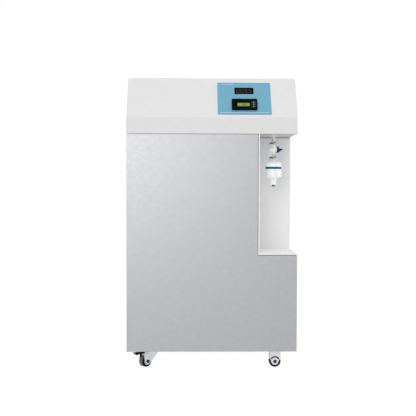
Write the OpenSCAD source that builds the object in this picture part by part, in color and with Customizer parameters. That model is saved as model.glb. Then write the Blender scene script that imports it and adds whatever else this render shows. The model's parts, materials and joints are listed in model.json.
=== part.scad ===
// Reverse osmosis water purifier in a floor-standing cabinet on castors.
// Origin on the floor below the middle of the cabinet. X to the right, Y to the back, Z up. Millimetres.

/* [Cabinet] */
// Width over the side panels
cabinet_w = 640; // [625:1:720]
// Depth from the front panel to the back edges of the side panels
cabinet_d = 480; // [470:1:560]
// Height of the body below the head
body_h = 819; // [810:1:900]
// Thickness of the steel sheet
sheet = 1.5; // [1.2:0.1:2]
// Width of the folded edges of the side panels
fold_w = 25; // [22:1:32]
// Depth of the space behind the rear panel
rear_inset = 26; // [25:1:40]
// Thickness of the base tray
tray_t = 2.5; // [2:0.1:4]
// Height of the rim of the base tray
tray_rim = 28; // [20:1:40]
// Width of a cooling slot in the rear panel
slot_w = 110; // [60:1:130]
// Height of a cooling slot
slot_h = 5; // [4:0.5:7]

/* [Head] */
// Height of the upright band above the front panel
band_h = 60; // [45:1:90]
// Height of the sloped face
slope_rise = 158; // [150:1:190]
// Depth of the sloped face
slope_run = 102; // [80:1:125]
// Thickness of the moulded head cover
hood_t = 2.5; // [2:0.1:4]
// Radius of the long edges of the head cover
hood_round = 8; // [5:0.5:12]
// Radius of the upright corners of the head cover
hood_corner = 5; // [4.5:0.5:8]
// Height of the rim of the head floor
floor_rim = 18; // [12:1:25]

/* [Front panel] */
// Thickness of the front panel
door_t = 20; // [18:1:26]
// Height of its low part, below the recess
door_low_h = 363; // [345:1:400]
// Gap between the panel and the edges of the recess
door_gap = 1.5; // [1:0.1:3]
// Gap between the panel and the head
door_top_gap = 3; // [2:0.5:6]
// Gap behind the panel
door_back_gap = 4; // [3.8:0.1:6]
// Overhang of the face past the top and bottom folds
door_lip = 8; // [6:0.5:12]
// Distance of the hinge pins from the left edge
hinge_inset = 10; // [9:0.5:11]
// Diameter of the hinge pins
hinge_pin_d = 6; // [5:0.5:8]
// Height of a magnetic catch
catch_h = 40; // [25:1:60]

/* [Dispensing recess] */
// Width of the recess, from the right side
recess_w = 148; // [140:1:160]
// Depth of the recess
recess_d = 240; // [215:1:250]
// Diameter of the rolled edges
hem_d = 5; // [4:0.5:7]

/* [Control panel] */
// Width of the control plate
plate_w = 202; // [180:1:230]
// Height of the control plate
plate_h = 152; // [142:1:156]
// Thickness of the control plate
plate_t = 1.5; // [1:0.1:3]
// Distance of the plate's middle from the middle of the cabinet
plate_x = 122; // [60:1:150]
// Distance of the plate's lower edge above the fold
plate_foot = 13; // [8:1:16]
// Width of the display
display_w = 72; // [60:1:90]
// Height of the display
display_h = 30; // [24:1:36]
// Height of the display's middle above the plate's lower edge
display_rise = 112; // [104:1:118]
// Width of the meter's bezel
meter_w = 96; // [94:1:110]
// Height of the meter's bezel
meter_h = 48; // [46:1:56]
// Height of the meter's middle above the plate's lower edge
meter_rise = 44; // [36:1:50]
// Height of the bezel above the plate
meter_proud = 8; // [6:0.5:12]
// Depth of the meter case behind the plate
meter_d = 70; // [50:1:80]
// Width of the meter's window
lcd_w = 46; // [36:1:50]
// Height of the meter's window
lcd_h = 15; // [12:0.5:22]
// Width of a meter key
key_w = 17; // [10:0.5:18]
// Height of a meter key
key_h = 6; // [4:0.5:7]
// Distance between the keys
key_pitch = 10.2; // [9.5:0.1:12]
// Travel of a key
key_travel = 0.8; // [0.5:0.1:1.2]

/* [Tap and filter] */
// Distance of the tap from the right side
tap_inset = 80; // [65:1:90]
// Distance of the tap behind the front
tap_back = 110; // [80:1:150]
// Outer diameter of the tap's tubes
hose_d = 13; // [12:0.5:15]
// Bore of the tap's tubes
hose_bore = 9.2; // [8:0.1:10]
// Length of the feed tube
feed_l = 33; // [31:1:50]
// Length of the link tube
link_l = 25; // [24:1:45]
// Height of the tap between its collars
tap_h = 32; // [29:1:45]
// Diameter of the tap's barrel
barrel_d = 20; // [18:0.5:24]
// Diameter of the tap's plug
plug_d = 12; // [10:0.5:13]
// Diameter of the key's flange
key_flange_d = 23; // [18:0.5:26]
// Length of the key's wing
wing_l = 15; // [10:0.5:22]
// Diameter of the capsule filter
filter_d = 64; // [50:1:75]
// Height of the capsule's straight part
filter_h = 48; // [35:1:70]
// Diameter of the capsule's neck
neck_d = 22; // [18:0.5:30]
// Length of the capsule's neck
neck_l = 22; // [14:1:30]
// Height of the coloured band
band_ring_h = 8.5; // [5:0.5:14]

/* [Castors] */
// Height of the castors
castor_h = 70; // [69:1:90]
// Diameter of the wheels
wheel_d = 45; // [42:1:48]
// Width of the tyres
wheel_w = 25; // [16:1:26]
// Thickness of the pressed castor steel
fork_t = 2.5; // [2:0.1:3]
// Distance of the wheel behind the swivel axis
castor_trail = 24; // [22:1:28]
// Turn of the front swivel castor
turn_front = 43; // [-60:1:60]
// Turn of the rear swivel castor
turn_rear = -20; // [-60:1:60]
// Distance of the swivel castors from the left side
swivel_inset = 84; // [80:1:110]
// Distance of the fixed castors from the right side
fixed_inset = 77; // [60:1:110]
// Distance of the castors from the front and the back
castor_inset = 70; // [66:1:90]
// Diameter of the axles
axle_d = 8; // [6:0.5:9]
// Diameter of the castor bolts
bolt_d = 6; // [5:0.5:7]

/* [Rear connections] */
// Height of the water ports above the base
port_rise = 110; // [80:1:150]
// Distance between the water ports
port_pitch = 50; // [48:1:70]
// Bore of a water port
port_bore = 9.6; // [8:0.1:10]
// Height of the power inlet above the base
inlet_rise = 240; // [200:1:320]
// Diameter of a panel screw's head
screw_head_d = 8; // [6:0.5:9]

/* [Water treatment] */
// Diameter of a pre-filter bowl
bowl_d = 108; // [95:1:112]
// Length of a pre-filter bowl
bowl_h = 245; // [200:1:300]
// Distance of the pre-filter heads below the head
heads_drop = 274; // [264:1:290]
// Diameter of a membrane housing
housing_d = 84; // [70:1:86]
// Diameter of a deionising column
column_d = 100; // [80:1:110]
// Height of a deionising column
column_h = 590; // [450:1:620]
// Diameter of the pump motor
motor_d = 84; // [70:1:88]
// Diameter of the water tubes
tube_d = 9.5; // [6:0.5:10]

/* [Hidden] */
$fn = 48;
fit = 0.05;
play = 0.3;

// Main planes
side_x = cabinet_w / 2;
front_y = -cabinet_d / 2;
back_y = cabinet_d / 2;
base_z = castor_h;
head_z = base_z + body_h;
fold_z = head_z + band_h;
top_z = fold_z + slope_rise;
slope_l = sqrt(slope_rise * slope_rise + slope_run * slope_run);
slope_angle = atan2(slope_rise, slope_run);
frame_y = front_y + door_t + door_back_gap;
rear_y = back_y - rear_inset;
inner_rear_y = rear_y - sheet;
tray_top = base_z + tray_t;
recess_x = side_x - recess_w;
recess_y = front_y + recess_d;
hem_r = hem_d / 2;
liner_x = recess_x + door_gap + hem_r;
shelf_z = base_z + door_low_h + door_gap + hem_r;
mount_y = recess_y + sheet + 8;
slot_pitch = slot_h + 9;

// Front panel
pivot_x = -side_x + hinge_inset;
pivot_y = front_y + door_t / 2;
door_top_z = head_z - door_top_gap;
bracket_t = 2.5;
strike_w = 24;

// Control panel
meter_face = meter_proud - 1.2;
lcd_x = -4;
lcd_y = -2.5;
keys_x = 34;
keys_y = -2.2;

// Tap stack, from the head down
tap_x = side_x - tap_inset;
tap_y = front_y + tap_back;
hose_r = hose_d / 2;
barb_r = hose_bore / 2 - fit;
barb_l = 14;
flange_l = 6;
tap_top_z = head_z - flange_l - feed_l;
tap_mid_z = tap_top_z - tap_h / 2;
tap_low_z = tap_top_z - tap_h;
filter_top_z = tap_low_z - link_l;
dome_h = 16;
neck_end_z = filter_top_z - dome_h - filter_h - 9 - neck_l;
cap_h = 7;
filter_end_z = neck_end_z - cap_h;
band_z = filter_top_z - dome_h - 10 - band_ring_h;
barrel_l = 24;
band_r = filter_d / 2 - 1.4;
band_t = 1.6;
clamp_h = 4;
clamp_lean = 14;
clamp_r = (hose_r + clamp_h / 2 * sin(1.42 * clamp_lean)) / cos(1.42 * clamp_lean) + fit;
bulkhead_r = 6;

// Castors
castor_y = cabinet_d / 2 - castor_inset;
swivel_y = castor_y - 9;
fixed_y = castor_y + 8;
swivel_x = -side_x + swivel_inset;
fixed_x = side_x - fixed_inset;
wheel_r = wheel_d / 2;
rim_r = wheel_r - 8;
axle_r = axle_d / 2;
race_h = 9.5;
crown_z = castor_h - 2 * fork_t - race_h;
leg_in = wheel_w / 2 + 1.6;
leg_out = leg_in + fork_t;
pad_w = 72;
pad_d = 60;
bolt_dx = 28;
bolt_dy = 22;
king_r = 5;
pedal_x = -castor_trail - 3;
pedal_z = wheel_r + 28.5;
press = 9;
fork_front = 35;
fork_half = 21;
lobe = 8;
skirt_t = 2;
pedal_w = 14;
pedal_t = 3.4;
lever_l = 40;
pin_r = 2.5;

// Rear connections
port_z = base_z + port_rise;
port_xs = [-side_x + 80, -side_x + 80 + port_pitch];
inlet_x = -side_x + 105;
inlet_z = base_z + inlet_rise;
port_stub = 20;
rocker_r = 9;
rocker_z = 23;
rocker_y = rear_y - 1;

// Water treatment
tube_r = tube_d / 2;
tube_bend = 17;
tube_turn = tube_bend + 1;
riser_x = -side_x + 14;
duct_x = liner_x - 14;
port_reach = bowl_d / 2 + 4;
pf_x0 = riser_x + tube_turn + port_reach;
pf_x2 = duct_x - tube_turn - port_reach;
pf_pitch = (pf_x2 - pf_x0) / 2;
pf_y = mount_y - 70;
pf_z = head_z - heads_drop;
pf_port_z = pf_z + 30;
ro_r = housing_d / 2;
ro_y = mount_y - 55;
ro_rise = 110;
ro_pitch = housing_d + 9;
ro_zs = [pf_z + ro_rise, pf_z + ro_rise + ro_pitch];
ro_x0 = -side_x + 50;
ro_x1 = liner_x - 76;
ro_stub = 12;
tee_z = (ro_zs[0] + ro_zs[1]) / 2;
tee_w = 16;
bay_y = castor_y - 52;
supply_w = 110;
supply_d = 48;
supply_h = 160;
supply_x = -side_x + 250;
supply_z = base_z + 430;
pump_x = side_x - 95;
pump_y = pf_y - 40;
feet_h = 12;
pump_axis_z = tray_top + feet_h + 3 + 46;
pump_top_z = pump_axis_z + 45;
pump_port_z = pump_top_z + 14;
duct_z = pump_port_z + 70;
column_r = column_d / 2;
column_xs = [tap_x - 15 - 130, tap_x - 15];
plinth_h = 8;
column_port_z = tray_top + plinth_h + column_h + 44;
valve_y = mount_y + sheet + 20;
valve_top_z = port_z + 22;
head_run_z = fold_z - 10;
bulkhead_top_z = head_z + sheet + 18;

// Helpers
function unit(v) = v / norm(v);
function wrap(angle) = angle > 180 ? angle - 360 : angle < -180 ? angle + 360 : angle;
function box(w, h) = [[-w / 2, -h / 2], [w / 2, -h / 2], [w / 2, h / 2], [-w / 2, h / 2]];
function span(x0, x1, y0, y1) = [[x0, y0], [x1, y0], [x1, y1], [x0, y1]];

// Points of the arc that rounds the corner p between a and b
function corner(a, p, b, r, steps) =
    r <= 0 ? [p] :
    let (u = unit(a - p), v = unit(b - p))
    let (half = acos(u * v) / 2)
    let (centre = p + unit(u + v) * r / sin(half))
    let (s = p + u * r / tan(half) - centre, e = p + v * r / tan(half) - centre)
    let (a0 = atan2(s[1], s[0]))
    let (sweep = wrap(atan2(e[1], e[0]) - a0))
    [for (k = [0:steps]) centre + r * [cos(a0 + sweep * k / steps), sin(a0 + sweep * k / steps)]];

// An outline with its corners rounded, by one radius or one for each corner
function rounded(points, radii, steps = 6) = [
    for (i = [0:len(points) - 1])
        let (n = len(points), r = is_list(radii) ? radii[i] : radii)
        each corner(points[(i + n - 1) % n], points[i], points[(i + 1) % n], r, steps)];

// A bent strip of thickness t along a line of points
function across(a, b) = let (u = unit(b - a)) [-u[1], u[0]];
function shifted(p, d) = [
    for (i = [0:len(p) - 1])
        let (n0 = across(p[max(i - 1, 0)], p[max(i, 1)]))
        let (n1 = across(p[min(i, len(p) - 2)], p[min(i + 1, len(p) - 1)]))
        let (n = unit(n0 + n1))
        p[i] + n * d / (n * n0)];
function strip(p, t) = let (a = shifted(p, t / 2), b = shifted(p, -t / 2))
    concat(a, [for (i = [len(b) - 1:-1:0]) b[i]]);

// A line of points in space with its corners rounded
function curve(a, p, b, t) = (1 - t) * (1 - t) * a + 2 * t * (1 - t) * p + t * t * b;
function bent(p, r, steps = 4) = [
    p[0],
    for (i = [1:1:len(p) - 2])
        let (a = p[i] + r * unit(p[i - 1] - p[i]), b = p[i] + r * unit(p[i + 1] - p[i]))
        each [for (k = [0:steps]) curve(a, p[i], b, k / steps)],
    p[len(p) - 1]];
function along(p, i) = unit(p[min(i + 1, len(p) - 1)] - p[max(i - 1, 0)]);
function start_normal(t) = abs(t[2]) > 0.9 ? [1, 0, 0] : [0, 0, 1];
function level(n, t) = unit(n - (n * t) * t);

// A tube through a line of points
module hose(points, r, bend_r = tube_bend, sides = 10) {
    p = bent(points, bend_r);
    last = len(p) - 1;
    normals = [for (i = 0, n = level(start_normal(along(p, 0)), along(p, 0));
        i <= last;
        i = i + 1, n = i <= last ? level(n, along(p, i)) : n) n];
    rim = [for (i = [0:last]) for (k = [0:sides - 1])
        let (side = cross(along(p, i), normals[i]))
        p[i] + r * (cos(360 * k / sides) * normals[i] + sin(360 * k / sides) * side)];
    skin = [for (i = [0:last - 1]) for (k = [0:sides - 1])
        let (a = i * sides + k, b = i * sides + (k + 1) % sides)
        each [[a, a + sides, b], [b, a + sides, b + sides]]];
    polyhedron(rim, concat([[for (k = [0:sides - 1]) k]], skin,
        [[for (k = [sides - 1:-1:0]) last * sides + k]]));
}

// Outlines drawn in X and Z, from y to y + t
module face_front(y, t) translate([0, y + t, 0]) rotate([90, 0, 0]) linear_extrude(t) children();

// Outlines drawn in Y and Z, from x to x + t
module face_side(x, t) translate([x, 0, 0]) rotate([90, 0, 90]) linear_extrude(t) children();

// A block between two corners
module block(a, b) translate(a) cube(b - a);

// Cylinders along X and Y that start at a point
module rod_x(p, r, l) translate(p) rotate([0, 90, 0]) cylinder(r = r, h = l);
module rod_y(p, r, l) translate(p) rotate([-90, 0, 0]) cylinder(r = r, h = l);

// The plane of the sloped face, with Z out of it
module on_slope(x, rise) {
    translate([x, front_y, fold_z]) rotate([slope_angle, 0, 0]) translate([0, rise, 0]) children();
}

// A hose barb that points down from the origin
module barb(l) rotate_extrude() polygon(concat([[0, 0], [barb_r - 0.8, 0]],
    [for (k = [0:2]) each [[barb_r, -l * (k + 0.4) / 3], [barb_r - 0.9, -l * (k + 1) / 3]]], [[0, -l]]));

// Places of the castors
module at_swivel(row) translate([swivel_x, row * swivel_y, 0])
    rotate(row < 0 ? turn_front : turn_rear) children();
module at_fixed(row) translate([fixed_x, row * fixed_y, 0]) children();
module at_castors() {
    for (row = [-1, 1]) {
        translate([swivel_x, row * swivel_y, 0]) children();
        translate([fixed_x, row * fixed_y, 0]) children();
    }
}
module at_bolts() for (i = [-1, 1]) for (j = [-1, 1]) translate([i * bolt_dx, j * bolt_dy, 0]) children();

// Places of the panel screws
screw_xs = [-side_x + 14, side_x - 14];
screw_zs = [for (k = [0:3]) base_z + 60 + k * (body_h - 120) / 3];
module at_screws() for (x = screw_xs) for (z = screw_zs) translate([x, 0, z]) children();

// Cabinet
module base_tray() color("gainsboro") difference() {
    block([-side_x + sheet, frame_y + sheet, base_z],
        [side_x - sheet, inner_rear_y - sheet, base_z + tray_rim]);
    block([-side_x + sheet + tray_t, frame_y + sheet + tray_t, tray_top],
        [side_x - sheet - tray_t, inner_rear_y - sheet - tray_t, base_z + tray_rim + 1]);
    at_castors() at_bolts() translate([0, 0, base_z - 1]) cylinder(r = bolt_d / 2 + play, h = tray_t + 2);
}

module screw_holes() at_screws() rod_y([0, inner_rear_y - sheet - 1, 0], 2.3, 2 * sheet + 2);

module left_side_panel() color("whitesmoke") difference() {
    translate([0, 0, base_z]) linear_extrude(body_h) union() {
        polygon(span(-side_x, -side_x + sheet, frame_y, back_y));
        polygon(span(-side_x, -side_x + fold_w, frame_y, frame_y + sheet));
        polygon(span(-side_x, -side_x + fold_w, inner_rear_y - sheet, inner_rear_y));
        polygon(span(-side_x, -side_x + 12, back_y - sheet, back_y));
    }
    screw_holes();
}

module right_side_panel() color("whitesmoke") difference() {
    union() {
        translate([0, 0, base_z]) linear_extrude(shelf_z - hem_r - play - base_z) union() {
            polygon(span(side_x - sheet, side_x, frame_y, recess_y + 1));
            polygon(span(side_x - fold_w, side_x, frame_y, frame_y + sheet));
        }
        translate([0, 0, base_z]) linear_extrude(body_h) union() {
            polygon(span(side_x - sheet, side_x, recess_y, back_y));
            polygon(span(side_x - fold_w, side_x, inner_rear_y - sheet, inner_rear_y));
            polygon(span(side_x - 12, side_x, back_y - sheet, back_y));
        }
    }
    screw_holes();
}

// A bank of cooling slots, from the top one down
module slots(x, z, count) for (k = [0:count - 1]) translate([x, z - slot_pitch * k])
    polygon(rounded(box(slot_w, slot_h), slot_h / 2 - 0.05));

module rear_panel() color("whitesmoke") difference() {
    face_front(inner_rear_y, sheet) difference() {
        polygon(span(-side_x + sheet, side_x - sheet, base_z, head_z));
        for (x = [-1, 1]) slots(x * (slot_w / 2 + 20), head_z - 90, 10);
        slots(side_x - 170, base_z + 160, 6);
        translate([inlet_x, inlet_z]) polygon(rounded(box(29, 71), 3));
    }
    for (x = port_xs) rod_y([x, inner_rear_y - 1, port_z], 8.2, sheet + 2);
    screw_holes();
}

module panel_screws() color("silver") at_screws() difference() {
    union() {
        rod_y([0, inner_rear_y - sheet - 6, 0], 2, 2 * sheet + 6);
        rod_y([0, rear_y, 0], screw_head_d / 2, 2.4);
    }
    for (turn = [0, 90]) rotate([0, turn, 0]) block([-2.4, rear_y + 1.2, -0.5], [2.4, rear_y + 3, 0.5]);
}

module recess_liner() color("white") {
    block([liner_x - sheet / 2, front_y + hem_r, shelf_z - sheet / 2],
        [liner_x + sheet / 2, recess_y + sheet, head_z]);
    block([liner_x - sheet / 2, recess_y, shelf_z - sheet / 2], [side_x - sheet, recess_y + sheet, head_z]);
    block([liner_x - sheet / 2, front_y + hem_r, shelf_z - sheet / 2],
        [side_x - hem_r, recess_y + sheet, shelf_z + sheet / 2]);
    translate([liner_x, front_y + hem_r, shelf_z - hem_r]) cylinder(r = hem_r, h = head_z - shelf_z + hem_r);
    rod_x([liner_x - hem_r, front_y + hem_r, shelf_z], hem_r, side_x - liner_x + hem_r);
    rod_y([side_x - hem_r, front_y, shelf_z], hem_r, recess_d);
}

// The head seen from above, drawn in by d
function head_outline(d) = span(-side_x + d, side_x - d, front_y + d, back_y - d);

module head_floor() color("whitesmoke") difference() {
    translate([0, 0, head_z]) linear_extrude(floor_rim)
        polygon(rounded(head_outline(hood_t), hood_corner));
    translate([0, 0, head_z + sheet]) linear_extrude(floor_rim)
        polygon(rounded(head_outline(hood_t + sheet), hood_corner - sheet));
    translate([tap_x, tap_y, head_z - 1]) cylinder(r = bulkhead_r + 0.2, h = sheet + 2);
    translate([tap_x, bay_y, head_z - 1]) cylinder(r = tube_r + 2, h = sheet + 2);
    translate([-side_x + 120, bay_y, head_z - 1]) cylinder(r = 20, h = sheet + 2);
}

// The outer form of the head, drawn in by d and with its underside dropped
module head_form(d, drop) intersection() {
    face_side(-side_x + d, cabinet_w - 2 * d) polygon(rounded([
        [front_y + d, head_z - drop],
        [front_y + d, fold_z - d * (slope_l - slope_rise) / slope_run],
        [front_y + slope_run + d * (slope_l - slope_run) / slope_rise, top_z - d],
        [back_y - d, top_z - d],
        [back_y - d, head_z - drop]], [0, 8 - d, 14 - d, hood_round - d, 0]));
    face_front(front_y, cabinet_d) polygon(rounded(
        span(-side_x + d, side_x - d, head_z - drop, top_z - d), [0, 0, hood_round - d, hood_round - d]));
    translate([0, 0, head_z - drop]) linear_extrude(top_z - head_z + drop)
        polygon(rounded(head_outline(d), hood_corner - d));
}

module head_cover() color("white") difference() {
    head_form(0, 0);
    head_form(hood_t, 5);
    on_slope(plate_x, plate_foot + display_rise) translate([0, 0, -10])
        linear_extrude(20) polygon(box(display_w + 2 * play, display_h + 2 * play));
    on_slope(plate_x, plate_foot + meter_rise) translate([0, 0, -10])
        linear_extrude(20) polygon(box(meter_w - 4 + 2 * play, meter_h - 4 + 2 * play));
    face_front(back_y - 10, 20) for (x = [-1, 1]) slots(x * (slot_w / 2 + 20), top_z - 60, 5);
}

// Front panel and its hardware
module hinge_bracket(z, up) translate([pivot_x, 0, z]) mirror([0, 0, up < 0 ? 1 : 0]) {
    half = door_t / 2 - sheet - 1;
    block([-half, pivot_y, -bracket_t], [half, frame_y, 0]);
    translate([0, pivot_y, -bracket_t]) cylinder(r = half, h = bracket_t);
    translate([0, pivot_y, -bracket_t]) cylinder(r = hinge_pin_d / 2, h = bracket_t + 1 + sheet + 5);
    block([-half, frame_y - bracket_t, -bracket_t], [half, frame_y, 32]);
}

module hinge_brackets() color("silver") {
    hinge_bracket(base_z + door_lip - 1, 1);
    hinge_bracket(door_top_z - door_lip + 1, -1);
}

module door_catches() color("dimgray") for (z = [base_z + 60, base_z + door_low_h - 60 - catch_h])
    block([side_x - 21, frame_y - door_back_gap + play, z], [side_x - 5, frame_y, z + catch_h]);

function door_outline(lip) = [[-side_x, base_z + lip], [side_x, base_z + lip], [side_x, base_z + door_low_h],
    [recess_x, base_z + door_low_h], [recess_x, door_top_z - lip], [-side_x, door_top_z - lip]];
function door_inside(lip, d) = [[-side_x + d, base_z + lip + d], [side_x - d, base_z + lip + d],
    [side_x - d, base_z + door_low_h - d], [recess_x - d, base_z + door_low_h - d],
    [recess_x - d, door_top_z - lip - d], [-side_x + d, door_top_z - lip - d]];

module front_panel() color("lightgray") difference() {
    union() {
        face_front(front_y, sheet) polygon(rounded(door_outline(0), 2));
        face_front(front_y + 0.5, door_t - 0.5) difference() {
            polygon(door_outline(door_lip));
            polygon(door_inside(door_lip, sheet));
        }
        block([side_x - strike_w, front_y + door_t - sheet, base_z + door_lip],
            [side_x, front_y + door_t, base_z + door_low_h]);
    }
    block([-side_x - 1, pivot_y + 4, base_z], [pivot_x - 3, frame_y, head_z]);
    translate([pivot_x, pivot_y, base_z]) cylinder(r = hinge_pin_d / 2 + fit, h = 40);
    translate([pivot_x, pivot_y, door_top_z - 40]) cylinder(r = hinge_pin_d / 2 + fit, h = 40);
}

// Control panel
module control_plate() color([0.41, 0.67, 0.77]) on_slope(plate_x, plate_foot)
    linear_extrude(plate_t) difference() {
        translate([0, plate_h / 2]) polygon(rounded(box(plate_w, plate_h), 3));
        translate([0, display_rise]) polygon(box(display_w + 2 * play, display_h + 2 * play));
        translate([0, meter_rise]) polygon(box(meter_w - 4 + 2 * play, meter_h - 4 + 2 * play));
    }

module display_module() color([0.1, 0.12, 0.14]) on_slope(plate_x, plate_foot + display_rise) difference() {
    translate([0, 0, -25]) linear_extrude(26 + plate_t) polygon(box(display_w, display_h));
    translate([0, 0, plate_t]) linear_extrude(5) polygon(rounded(box(display_w - 4, display_h - 4), 1.5));
}

module on_meter() on_slope(plate_x, plate_foot + meter_rise) translate([0, 0, plate_t]) children();

module meter_case() color([0.08, 0.1, 0.12]) on_meter() difference() {
    union() {
        linear_extrude(meter_proud) polygon(rounded(box(meter_w, meter_h), 3));
        translate([0, 0, -meter_d]) linear_extrude(meter_d + 1) polygon(box(meter_w - 4, meter_h - 4));
    }
    translate([0, 0, meter_face]) linear_extrude(5) polygon(rounded(box(meter_w - 6, meter_h - 6), 2));
    translate([lcd_x, lcd_y, meter_face - 3]) linear_extrude(9)
        polygon(box(lcd_w + 2 * play, lcd_h + 2 * play));
    for (k = [-1:1]) translate([keys_x, keys_y + k * key_pitch, meter_face - 4])
        linear_extrude(9) polygon(box(key_w + 2 * play, key_h + 2 * play));
}

module meter_window() color([0.6, 0.72, 0.4]) on_meter() translate([lcd_x, lcd_y, meter_face - 3])
    linear_extrude(2.4) polygon(rounded(box(lcd_w, lcd_h), 1));

module meter_key(k) color([0.75, 0.77, 0.78]) on_meter()
    translate([keys_x, keys_y + k * key_pitch, meter_face - 4 + key_travel + 0.2])
        linear_extrude(4.2 - key_travel + 1) polygon(rounded(box(key_w, key_h), 1.5));
module meter_key_1() meter_key(1);
module meter_key_2() meter_key(0);
module meter_key_3() meter_key(-1);

module control_board() color([0.1, 0.35, 0.2]) translate([-side_x + 190, bay_y - 20, head_z + sheet]) {
    for (i = [-1, 1]) for (j = [-1, 1]) translate([i * 80, j * 50, 0]) cylinder(r = 4, h = 13);
    translate([-90, -60, 12]) cube([180, 120, 1.8]);
    for (k = [0:3]) translate([-80 + 42 * k, 22, 13]) cube([20, 28, 17]);
    for (k = [0:5]) translate([-84 + 28 * k, -58, 13]) cube([22, 12, 13]);
    translate([-20, -30, 13]) cube([36, 36, 5]);
    for (k = [0:2]) translate([50 + 15 * k, -20, 13]) cylinder(r = 6, h = 21);
}

// Tap and filter
module at_tap(z) translate([tap_x, tap_y, z]) children();

module outlet_bulkhead() color("gainsboro") difference() {
    union() {
        at_tap(head_z - flange_l) cylinder(r = 11, h = flange_l, $fn = 6);
        at_tap(head_z - flange_l) barb(barb_l);
        at_tap(head_z - 1) cylinder(r = bulkhead_r, h = bulkhead_top_z - head_z + 1);
        at_tap(head_z + sheet) cylinder(r = 10, h = 6, $fn = 6);
    }
    at_tap(head_z - flange_l - barb_l - 1) cylinder(r = 2.2, h = flange_l + barb_l + 12);
}

module pipe(z, l) at_tap(z) difference() {
    cylinder(r = hose_r, h = l);
    translate([0, 0, -1]) cylinder(r = hose_bore / 2, h = l + 2);
}
module feed_tube() color([0.85, 0.88, 0.9]) pipe(tap_top_z, feed_l);
module link_tube() color([0.85, 0.88, 0.9]) pipe(filter_top_z, link_l);

module hose_clamp(z) at_tap(z) rotate([clamp_lean, -clamp_lean, 0]) {
    difference() {
        union() {
            translate([0, 0, -clamp_h / 2]) cylinder(r = clamp_r + 1.7, h = clamp_h);
            block([-clamp_r - 8, -4.5, -clamp_h / 2], [-clamp_r, 4.5, clamp_h / 2]);
        }
        translate([0, 0, -clamp_h]) cylinder(r = clamp_r, h = 2 * clamp_h);
        block([-clamp_r - 9, -1, -clamp_h], [-clamp_r + 1, 1, clamp_h]);
    }
    rod_y([-clamp_r - 4.5, -7, 0], 1.6, 12.5);
    rod_y([-clamp_r - 4.5, -8, 0], 2.4, 3);
}
module hose_clamps() color([0.25, 0.29, 0.33]) {
    hose_clamp(tap_top_z + 11);
    hose_clamp(tap_low_z - 12.5);
}

module tap_body() color("white") difference() {
    union() {
        at_tap(tap_top_z) mirror([0, 0, 1]) barb(barb_l);
        at_tap(tap_low_z) cylinder(r = 6.5, h = tap_h);
        at_tap(tap_top_z - 3) cylinder(r = hose_r + 1, h = 3);
        at_tap(tap_low_z) cylinder(r = hose_r + 1, h = 3);
        at_tap(tap_low_z) barb(11);
        rod_x([tap_x - barrel_l / 2, tap_y, tap_mid_z], barrel_d / 2, barrel_l);
        rod_x([tap_x - barrel_l / 2 - 2, tap_y, tap_mid_z], barrel_d / 2 - 2, 3);
    }
    rod_x([tap_x - barrel_l / 2 + 2, tap_y, tap_mid_z], plug_d / 2 + fit, barrel_l);
    at_tap(tap_low_z - 20) cylinder(r = 2.2, h = tap_h + 50);
}

module tap_key() color([0.04, 0.2, 0.42]) translate([tap_x, tap_y, tap_mid_z]) difference() {
    union() {
        rod_x([-barrel_l / 2 + 2 + play, 0, 0], plug_d / 2, barrel_l - 1);
        rod_x([barrel_l / 2 + play, 0, 0], key_flange_d / 2, 8);
        block([barrel_l / 2 - 3.5, -3, -barrel_d / 2 - 2.8], [barrel_l / 2 + 1, 3, -barrel_d / 2 - play]);
        translate([barrel_l / 2 + 8, 0, 0]) rotate([90, 0, 0]) linear_extrude(18, center = true)
            polygon(rounded([[0, -9], [wing_l, -0.8], [wing_l, 2.2], [0, 4]], [0, 1.2, 1.2, 0]));
    }
    rod_y([0, -plug_d, 0], 2.2, 2 * plug_d);
    for (k = [0:11]) rotate([30 * k, 0, 0]) rod_x([barrel_l / 2 + 1.5, 0, key_flange_d / 2 + 0.4], 1.1, 8);
}

module filter_capsule() color([0.9, 0.92, 0.94]) difference() {
    union() {
        at_tap(filter_top_z) mirror([0, 0, 1]) barb(11);
        at_tap(filter_top_z) rotate_extrude() polygon(concat(
            [[0, 0], [hose_r + 1, 0], [hose_r + 1, -3]],
            [for (k = [1:9]) [hose_r + 1 + (filter_d / 2 - hose_r - 1) * sin(10 * k),
                -3 - (dome_h - 3) * (1 - cos(10 * k))]],
            [[filter_d / 2, -dome_h - filter_h], [filter_d / 2 - 2.5, -dome_h - filter_h - 2.5],
            [neck_d / 2 + 4, -dome_h - filter_h - 6], [neck_d / 2, -dome_h - filter_h - 9],
            [neck_d / 2, -dome_h - filter_h - 9 - neck_l], [0, -dome_h - filter_h - 9 - neck_l]]));
        at_tap(filter_end_z + 0.01) cylinder(r = 3.6, h = cap_h + 4);
    }
    at_tap(filter_end_z - 1) cylinder(r = 1.8, h = 20);
    at_tap(filter_top_z - 12) cylinder(r = 1.8, h = 30);
    at_tap(band_z) difference() {
        cylinder(r = filter_d / 2 + 1, h = band_ring_h);
        translate([0, 0, -1]) cylinder(r = band_r - band_t, h = band_ring_h + 2);
    }
}

module filter_band() color([0.08, 0.35, 0.42]) at_tap(band_z) difference() {
    cylinder(r = band_r, h = band_ring_h);
    translate([0, 0, -1]) cylinder(r = band_r - band_t + fit, h = band_ring_h + 2);
}

module filter_cap() color([0.2, 0.28, 0.38]) at_tap(filter_end_z) difference() {
    rotate_extrude() polygon([[0, 0], [5.4, 0], [6.2, 0.8], [6.2, cap_h - 0.1], [0, cap_h - 0.1]]);
    translate([0, 0, -1]) cylinder(r = 3.6 + fit, h = 20);
}

// Castors
module castor_pad() difference() {
    translate([0, 0, castor_h - fork_t]) linear_extrude(fork_t) polygon(rounded(box(pad_w, pad_d), 6));
    at_bolts() translate([0, 0, castor_h - fork_t - 1]) cylinder(r = bolt_d / 2 + play, h = fork_t + 2);
}

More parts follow.
